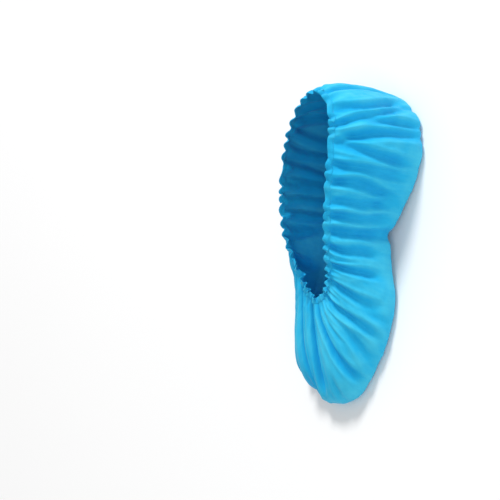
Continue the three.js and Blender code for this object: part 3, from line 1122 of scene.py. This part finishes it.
@dataclass(frozen=True)
class ElasticHem:
    """The hem: cloth folded over a thin elastic, swept round the opening and pinched into small puckers."""

    width: float = 1.5
    height: float = 6.2
    gap: float = -2.2
    puckers: int = 60
    pinch: float = 0.12
    pucker_scale: float = 90.0
    pucker_scatter: float = 7.0
    points: int = 1500
    sides: int = 12
    seed: int = 5
    below_row: int = 3

    def path(self, bag: CoverBag) -> bpy.types.Object:
        """Lays the hem's middle line along the cloth's edge.

        Args:
            bag: the built bag.

        Returns:
            A mesh ring with the direction out of the hem and the fold mask for painted shade and light on its
            points.
        """
        edge, below = bag.outside[0], bag.outside[self.below_row]
        upwards = unit(edge - below)
        across = np.roll(edge, -1, axis=0) - np.roll(edge, 1, axis=0)
        outwards = unit(np.cross(across, upwards))
        middle = edge + upwards * (self.gap + self.height / 2)
        count = len(middle)
        mesh = bpy.data.meshes.new("hem_path")
        mesh.from_pydata((middle * MM).tolist(), [(i, (i + 1) % count) for i in range(count)], [])
        layer = mesh.attributes.new("outwards", "FLOAT_VECTOR", "POINT")
        layer.data.foreach_set("vector", outwards.astype(np.float32).ravel())
        # the hem takes the fold mask of the cloth's edge, so its colour gets painted shade over the valleys
        # and painted light over the crests
        store_fold_shade_mask(mesh, bag.folds[0], bag.gathers.fold_depth)
        return new_object("hem_path", mesh)

    def _add_inputs(self, group: bpy.types.NodeTree) -> None:
        """Gives the hem's node tree its named inputs and its output.

        Args:
            group: the empty node tree.
        """
        face = group.interface
        face.new_socket("Geometry", in_out="INPUT", socket_type="NodeSocketGeometry")
        for name, kind, value in (
            ("Width", "NodeSocketFloat", self.width * MM),
            ("Height", "NodeSocketFloat", self.height * MM),
            ("Puckers", "NodeSocketInt", self.puckers),
            ("Pinch", "NodeSocketFloat", self.pinch),
            ("Points", "NodeSocketInt", self.points),
            ("Sides", "NodeSocketInt", self.sides),
            ("Seed", "NodeSocketInt", self.seed),
        ):
            face.new_socket(name, in_out="INPUT", socket_type=kind).default_value = value
        face.new_socket("Material", in_out="INPUT", socket_type="NodeSocketMaterial")
        face.new_socket("Geometry", in_out="OUTPUT", socket_type="NodeSocketGeometry")

    def _pinched_curve(self, nodes: NodeTree, given: bpy.types.Node) -> bpy.types.NodeSocket:
        """Adds the nodes that turn the path into a curve whose radius is pinched.

        Args:
            nodes: the hem's node tree.
            given: its input node.

        Returns:
            The curve's socket.
        """
        curve = nodes.add("GeometryNodeMeshToCurve")
        nodes.link(given.outputs["Geometry"], curve.inputs[0])
        even = nodes.add("GeometryNodeResampleCurve", mode="COUNT")
        nodes.link(curve.outputs[0], even.inputs["Curve"])
        nodes.link(given.outputs["Points"], even.inputs["Count"])
        outwards = nodes.add("GeometryNodeInputNamedAttribute", data_type="FLOAT_VECTOR")
        outwards.inputs["Name"].default_value = "outwards"
        normal = nodes.add("GeometryNodeSetCurveNormal", mode="FREE")
        nodes.link(even.outputs[0], normal.inputs["Curve"])
        nodes.link(outwards.outputs["Attribute"], normal.inputs["Normal"])
        along = nodes.add("GeometryNodeSplineParameter")
        turns = nodes.math("MULTIPLY", along.outputs["Factor"], 2.0 * math.pi)
        wave = nodes.math("MULTIPLY", turns, given.outputs["Puckers"])
        noise = nodes.add("ShaderNodeTexNoise", noise_dimensions="4D")
        noise.inputs["Scale"].default_value = self.pucker_scale
        nodes.link(given.outputs["Seed"], noise.inputs["W"])
        uneven = nodes.math("MULTIPLY", noise.outputs[0], self.pucker_scatter)
        pinched = nodes.math("SINE", nodes.math("ADD", wave, uneven))
        strength = nodes.math("MULTIPLY", given.outputs["Pinch"], noise.outputs[0])
        radius = nodes.math("ADD", 1.0, nodes.math("MULTIPLY", pinched, strength))
        sized = nodes.add("GeometryNodeSetCurveRadius")
        nodes.link(normal.outputs[0], sized.inputs["Curve"])
        nodes.link(radius, sized.inputs["Radius"])
        return sized.outputs[0]

    @staticmethod
    def _profile(nodes: NodeTree, given: bpy.types.Node) -> bpy.types.NodeSocket:
        """Adds the nodes of the hem's flat oval section.

        Args:
            nodes: the hem's node tree.
            given: its input node.

        Returns:
            The section's socket.
        """
        circle = nodes.add("GeometryNodeCurvePrimitiveCircle", mode="RADIUS")
        # a circle 1 across takes the width and the height as its scale
        circle.inputs["Radius"].default_value = 0.5
        nodes.link(given.outputs["Sides"], circle.inputs["Resolution"])
        shape = nodes.add("ShaderNodeCombineXYZ")
        nodes.link(given.outputs["Width"], shape.inputs["X"])
        nodes.link(given.outputs["Height"], shape.inputs["Y"])
        flat = nodes.add("GeometryNodeTransform")
        nodes.link(circle.outputs["Curve"], flat.inputs["Geometry"])
        nodes.link(shape.outputs[0], flat.inputs["Scale"])
        return flat.outputs[0]

    def tree(self) -> bpy.types.NodeTree:
        """Builds the geometry nodes that sweep and pinch the hem.

        Returns:
            The node tree.
        """
        group = bpy.data.node_groups.new("pinched_hem", "GeometryNodeTree")
        self._add_inputs(group)
        nodes = NodeTree(group)
        given = nodes.add("NodeGroupInput")
        result = nodes.add("NodeGroupOutput")
        sweep = nodes.add("GeometryNodeCurveToMesh")
        nodes.link(self._pinched_curve(nodes, given), sweep.inputs["Curve"])
        nodes.link(self._profile(nodes, given), sweep.inputs["Profile Curve"])
        smooth = nodes.add("GeometryNodeSetShadeSmooth")
        nodes.link(sweep.outputs[0], smooth.inputs["Geometry"])
        real = nodes.add("GeometryNodeRealizeInstances")
        nodes.link(smooth.outputs[0], real.inputs[0])
        dressed = nodes.add("GeometryNodeSetMaterial")
        nodes.link(real.outputs[0], dressed.inputs["Geometry"])
        nodes.link(given.outputs["Material"], dressed.inputs["Material"])
        nodes.link(dressed.outputs[0], result.inputs[0])
        return group

    def build(self, bag: CoverBag, material: bpy.types.Material) -> bpy.types.Object:
        """Sweeps the hem and keeps it as a plain mesh.

        Args:
            bag: the built bag.
            material: the hem's cloth.

        Returns:
            The hem's object.
        """
        path = self.path(bag)
        modifier = path.modifiers.new("pinched_hem", "NODES")
        modifier.node_group = self.tree()
        for item in modifier.node_group.interface.items_tree:
            if item.item_type == "SOCKET" and item.in_out == "INPUT" and item.name == "Material":
                modifier[item.identifier] = material
        graph = bpy.context.evaluated_depsgraph_get()
        mesh = bpy.data.meshes.new_from_object(path.evaluated_get(graph))
        mesh.name = "elastic_hem_roll"
        mesh.attributes.remove(mesh.attributes["outwards"])
        path.modifiers.clear()
        bpy.data.objects.remove(path)
        self._lay_map(mesh)
        return new_object("elastic_hem_roll", mesh)

    def _lay_map(self, mesh: bpy.types.Mesh) -> None:
        """Maps the hem's cloth along and round the roll.

        Args:
            mesh: the swept hem.
        """
        cloth_map = ClothMap(mesh)
        along = cloth_map.unrolled((cloth_map.corner // self.sides).astype(float), self.points)
        round_it = cloth_map.unrolled((cloth_map.corner % self.sides).astype(float), self.sides)
        points = np.zeros(len(mesh.vertices) * 3, dtype=np.float32)
        mesh.vertices.foreach_get("co", points)
        rolls = points.reshape(self.points, self.sides, 3) / MM
        length = np.linalg.norm(np.diff(rolls.mean(axis=1), axis=0), axis=1).sum()
        girth = 2.0 * (self.width + self.height)
        cloth_map.lay(along / self.points * length, round_it / self.sides * girth)

    @staticmethod
    def dress(piece: bpy.types.Object) -> None:
        """Gives the hem its place in the frame.

        Args:
            piece: the hem's object.
        """
        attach(piece, "root")
        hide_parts("elastic_hem")


@dataclass(frozen=True)
class NonWoven:
    """Spunbond non-woven cloth: melted bond points, loose fibres and a soft sheen, with painted shade in the
    fold valleys and painted light on the crests.
    """

    name: str = "sky_blue_non_woven"
    # middle is the cloth's blue; the light colour is painted light on crests and a lighter random tone, the
    # deep colour is painted shade in valleys, a darker random tone and the bond points' own tint
    middle: Colour = (0.014, 0.46, 0.79, 1.0)
    light: Colour = (0.060, 0.58, 0.82, 1.0)
    deep: Colour = (0.005, 0.37, 0.72, 1.0)
    roughness: float = 0.6
    sheen: float = 0.05
    specular: float = 0.12
    bump: float = 0.35
    bump_distance: float = 0.3

    def build(self, pattern: bpy.types.NodeTree) -> bpy.types.Material:
        """Makes the material.

        Args:
            pattern: the node group of the non-woven's pattern.

        Returns:
            The material.
        """
        material = bpy.data.materials.new(self.name)
        material.use_nodes = True
        nodes = NodeTree(material.node_tree)
        shader = material.node_tree.nodes["Principled BSDF"]
        shader.inputs["Sheen Weight"].default_value = self.sheen
        shader.inputs["Specular IOR Level"].default_value = self.specular
        cloth = nodes.add("ShaderNodeGroup", node_tree=pattern)
        for name, value in (("Middle", self.middle), ("Light", self.light), ("Deep", self.deep)):
            cloth.inputs[name].default_value = value
        cloth.inputs["Roughness"].default_value = self.roughness
        nodes.link(cloth.outputs["Color"], shader.inputs["Base Color"])
        nodes.link(cloth.outputs["Roughness"], shader.inputs["Roughness"])
        bump = nodes.add("ShaderNodeBump")
        bump.inputs["Strength"].default_value = self.bump
        bump.inputs["Distance"].default_value = self.bump_distance * MM
        nodes.link(cloth.outputs["Height"], bump.inputs["Height"])
        nodes.link(bump.outputs["Normal"], shader.inputs["Normal"])
        return material


# the hem's cloth, with its own middle blue and a lighter colour for its painted light on crests
HEM_CLOTH = NonWoven(
    "sky_blue_hem", middle=(0.013, 0.42, 0.73, 1.0), light=(0.052, 0.53, 0.76, 1.0), bump=0.5
)


@dataclass(frozen=True)
class NonWovenPattern:
    """The node group that all the cloth shares, which also paints shade and light from the fold mask and the
    wrinkles.
    """

    bond_pitch: float = 1.5
    bond_evenness: float = 0.25
    bond_size: float = 2.2
    bond_tint: float = 0.18
    bond_gloss: float = 0.12
    fibre_scale: float = 900.0
    fibre_detail: float = 4.0
    fibre_height: float = 0.5
    cloud_scale: float = 45.0
    cloud_share: float = 0.8
    # how strongly the fold mask paints shade and light into the colour
    fold_shade_share: float = 1.35
    wrinkle_scale: Point = (22.0, 5.0, 1.0)
    # how strongly the wrinkles paint shade and light into the colour
    wrinkle_shade_share: float = 0.3
    wrinkle_height: float = 1.4
    soft_detail: float = 3.0

    @staticmethod
    def _add_sockets(group: bpy.types.NodeTree) -> None:
        """Gives the group its named inputs and outputs.

        Args:
            group: the empty node group.
        """
        for name, way, kind in (
            ("Middle", "INPUT", "NodeSocketColor"),
            ("Light", "INPUT", "NodeSocketColor"),
            ("Deep", "INPUT", "NodeSocketColor"),
            ("Roughness", "INPUT", "NodeSocketFloat"),
            ("Color", "OUTPUT", "NodeSocketColor"),
            ("Roughness", "OUTPUT", "NodeSocketFloat"),
            ("Height", "OUTPUT", "NodeSocketFloat"),
        ):
            group.interface.new_socket(name, in_out=way, socket_type=kind)

    def _pressed(self, nodes: NodeTree, cloth_map: bpy.types.NodeSocket) -> bpy.types.NodeSocket:
        """Adds the small round points where the fibres are melted together.

        Args:
            nodes: the group's node tree.
            cloth_map: the map of the cloth.

        Returns:
            A mask, 1 in the middle of a bond point.
        """
        bonds = nodes.add("ShaderNodeTexVoronoi", feature="F1")
        bonds.inputs["Scale"].default_value = MAP_UNIT / self.bond_pitch
        bonds.inputs["Randomness"].default_value = self.bond_evenness
        nodes.link(cloth_map, bonds.inputs["Vector"])
        off = nodes.math("MULTIPLY", bonds.outputs["Distance"], self.bond_size)
        return nodes.math("SUBTRACT", 1.0, off, clamp=True)

    @staticmethod
    def _about_zero(nodes: NodeTree, value: bpy.types.NodeSocket, share: float) -> bpy.types.NodeSocket:
        """Takes the middle off a mask and scales what is left."""
        return nodes.math("MULTIPLY", nodes.math("SUBTRACT", value, 0.5), share)

    def build(self) -> bpy.types.NodeTree:
        """Builds the group of bond points, fibres, clouds, and the painted shade and light of the folds and
        wrinkles.

        Returns:
            The node group.
        """
        group = bpy.data.node_groups.new("non_woven_pattern", "ShaderNodeTree")
        self._add_sockets(group)
        nodes = NodeTree(group)
        given = nodes.add("NodeGroupInput")
        result = nodes.add("NodeGroupOutput")
        place = nodes.add("ShaderNodeTexCoord").outputs["Object"]
        cloth_map = nodes.add("ShaderNodeUVMap", uv_map="cloth_map").outputs["UV"]
        fold = nodes.add("ShaderNodeAttribute", attribute_name="fold").outputs["Fac"]
        pressed = self._pressed(nodes, cloth_map)
        fibres = nodes.noise("3D", self.fibre_scale, self.fibre_detail, place)
        clouds = nodes.noise("3D", self.cloud_scale, self.soft_detail, place)
        stretch = nodes.add("ShaderNodeMapping")
        stretch.inputs["Scale"].default_value = self.wrinkle_scale
        nodes.link(cloth_map, stretch.inputs["Vector"])
        wrinkles = nodes.noise("2D", 1.0, self.soft_detail, stretch.outputs["Vector"])

        # painted shade and light: the fold mask darkens the cloth in the valleys and lightens it on the
        # crests
        raised = self._about_zero(nodes, fold, self.fold_shade_share)
        uneven = self._about_zero(nodes, clouds, self.cloud_share)
        # painted shade and light: the wrinkles that bump the surface make the colour lighter where they stand
        # up and darker in their hollows
        wrinkle_shade = self._about_zero(nodes, wrinkles, self.wrinkle_shade_share)
        high = nodes.math("ADD", nodes.math("ADD", raised, uneven), wrinkle_shade)
        share = nodes.math("ADD", high, 0.5, clamp=True)
        # the share mixes painted fold and wrinkle shade with the clouds' random tone; its lower half runs
        # from deep to middle and its upper half from middle to light
        lower = nodes.math("MULTIPLY", share, 2.0, clamp=True)
        upper = nodes.math("SUBTRACT", nodes.math("MULTIPLY", share, 2.0), 1.0, clamp=True)
        shaded = nodes.mix(lower, given.outputs["Deep"], given.outputs["Middle"])
        lit = nodes.mix(upper, shaded, given.outputs["Light"])
        bonded = nodes.mix(nodes.math("MULTIPLY", pressed, self.bond_tint), lit, given.outputs["Deep"])
        nodes.link(bonded, result.inputs["Color"])
        smoother = nodes.math("MULTIPLY", pressed, self.bond_gloss)
        rough = nodes.math("SUBTRACT", given.outputs["Roughness"], smoother)
        nodes.link(rough, result.inputs["Roughness"])
        threads = nodes.math("SUBTRACT", nodes.math("MULTIPLY", fibres, self.fibre_height), pressed)
        creased = nodes.math("MULTIPLY", wrinkles, self.wrinkle_height)
        nodes.link(nodes.math("ADD", threads, creased), result.inputs["Height"])
        return group


@dataclass(frozen=True)
class FloorFinish:
    """A plain pale floor."""

    colour: Colour = (0.93, 0.93, 0.93, 1.0)
    roughness: float = 0.9
    specular: float = 0.1

    def build(self) -> bpy.types.Material:
        """Makes the floor's material.

        Returns:
            The material.
        """
        material = bpy.data.materials.new("pale_floor")
        material.use_nodes = True
        shader = material.node_tree.nodes["Principled BSDF"]
        shader.inputs["Base Color"].default_value = self.colour
        shader.inputs["Roughness"].default_value = self.roughness
        shader.inputs["Specular IOR Level"].default_value = self.specular
        return material


def turned(side: np.ndarray, up: np.ndarray, back: np.ndarray, spot: np.ndarray) -> Matrix:
    """Makes the matrix that turns and places a camera or a lamp.

    Args:
        side: the direction to its right.
        up: the direction up.
        back: the direction away from what it looks at.
        spot: where it stands, in metres.

    Returns:
        The matrix.
    """
    matrix = np.eye(4)
    matrix[:3, 0], matrix[:3, 1], matrix[:3, 2], matrix[:3, 3] = side, up, back, spot
    return Matrix(matrix.tolist())


@dataclass(frozen=True)
class PhotoCamera:
    """The camera of the photograph: over the side of the cover and turned so that the toe points down."""

    elevation: float = 38.0
    roll: float = 11.7
    lens: float = 100.0
    sensor: float = 36.0
    frame_pixels: float = 500.0
    pixels_per_mm: float = 1.0
    target: Point = (2.0, 0.0, 0.0)
    target_pixel: tuple[float, float] = (366.6, 251.6)
    nearest: float = 0.05
    furthest: float = 50.0

    def axes(self) -> tuple[np.ndarray, np.ndarray, np.ndarray]:
        """Finds the camera's directions.

        Returns:
            Directions back to the camera, to the image's right and down the image.
        """
        high, turn = math.radians(self.elevation), math.radians(self.roll)
        back = np.array([0.0, math.cos(high), math.sin(high)])
        level = np.array([1.0, 0.0, 0.0])
        upright = np.array([0.0, -math.sin(high), math.cos(high)])
        right = -math.sin(turn) * level - math.cos(turn) * upright
        down = math.cos(turn) * level - math.sin(turn) * upright
        return back, right, down

    def build(self) -> None:
        """Makes the camera and sets it on the scene."""
        back, right, down = self.axes()
        off = (np.array(self.target_pixel) - self.frame_pixels / 2) / self.pixels_per_mm
        middle = np.array(self.target) - off[0] * right - off[1] * down
        far = self.frame_pixels / self.pixels_per_mm / self.sensor * self.lens
        data = bpy.data.cameras.new("photo_camera")
        data.lens, data.sensor_width = self.lens, self.sensor
        data.clip_start, data.clip_end = self.nearest, self.furthest
        camera = bpy.data.objects.new("photo_camera", data)
        bpy.context.scene.collection.objects.link(camera)
        camera.matrix_world = turned(right, -down, back, (middle + back * far) * MM)
        bpy.context.scene.camera = camera


@dataclass(frozen=True)
class SoftLight:
    """One large soft lamp."""

    name: str
    spot: Point
    size: float
    power: float
    aim: Point = (0.0, 0.0, 0.04)

    def build(self) -> None:
        """Hangs the lamp and turns it to the cover."""
        data = bpy.data.lights.new(self.name, "AREA")
        data.shape, data.size, data.energy = "DISK", self.size, self.power
        lamp = bpy.data.objects.new(self.name, data)
        back = unit(np.array(self.spot) - np.array(self.aim))
        side = unit(np.cross((0.0, 0.0, 1.0), back))
        lamp.matrix_world = turned(side, np.cross(back, side), back, np.array(self.spot))
        bpy.context.scene.collection.objects.link(lamp)


@dataclass(frozen=True)
class Studio:
    """The floor, the light and the camera."""

    floor_size: float = 14.0
    floor_drop: float = 0.0004
    world_colour: Colour = (1.0, 1.0, 1.0, 1.0)
    world_strength: float = 0.5
    lights: tuple[SoftLight, ...] = (
        SoftLight("key_light", (-3.8, -0.3, 3.3), 1.2, 185.0),
        SoftLight("fill_light", (1.0, 2.8, 2.8), 2.8, 40.0),
    )

    def _lay_floor(self) -> None:
        """Lays the floor just under the sole."""
        half, low = self.floor_size / 2, -self.floor_drop
        corners = [(-half, -half, low), (half, -half, low), (half, half, low), (-half, half, low)]
        mesh = bpy.data.meshes.new("floor")
        mesh.from_pydata(corners, [], [(0, 1, 2, 3)])
        mesh.materials.append(FloorFinish().build())
        new_object("floor", mesh)

    def _light_room(self) -> None:
        """Fills the room with even light."""
        world = bpy.data.worlds.new("soft_room")
        world.use_nodes = True
        background = world.node_tree.nodes["Background"]
        background.inputs["Color"].default_value = self.world_colour
        background.inputs["Strength"].default_value = self.world_strength
        bpy.context.scene.world = world

    def build(self) -> None:
        """Sets up everything round the cover."""
        self._lay_floor()
        self._light_room()
        bpy.context.scene.view_settings.view_transform = "Standard"
        for light in self.lights:
            light.build()
        PhotoCamera().build()


def main() -> None:
    """Builds the cover and its studio in order."""
    logging.basicConfig(level=logging.INFO, format="%(name)s: %(message)s")
    Studio().build()
    form = CoverForm()
    bag = CoverBag(form, Gathers(form))
    pattern = NonWovenPattern().build()
    cloth = NonWoven().build(pattern)
    piece = bag.build()
    bag.dress(piece, cloth)
    LOG.info("cover_bag_cloth: %d faces", len(piece.data.polygons))
    hem = ElasticHem()
    roll = hem.build(bag, HEM_CLOTH.build(pattern))
    hem.dress(roll)
    LOG.info("elastic_hem_roll: %d faces", len(roll.data.polygons))


if __name__ == "__main__":
    main()
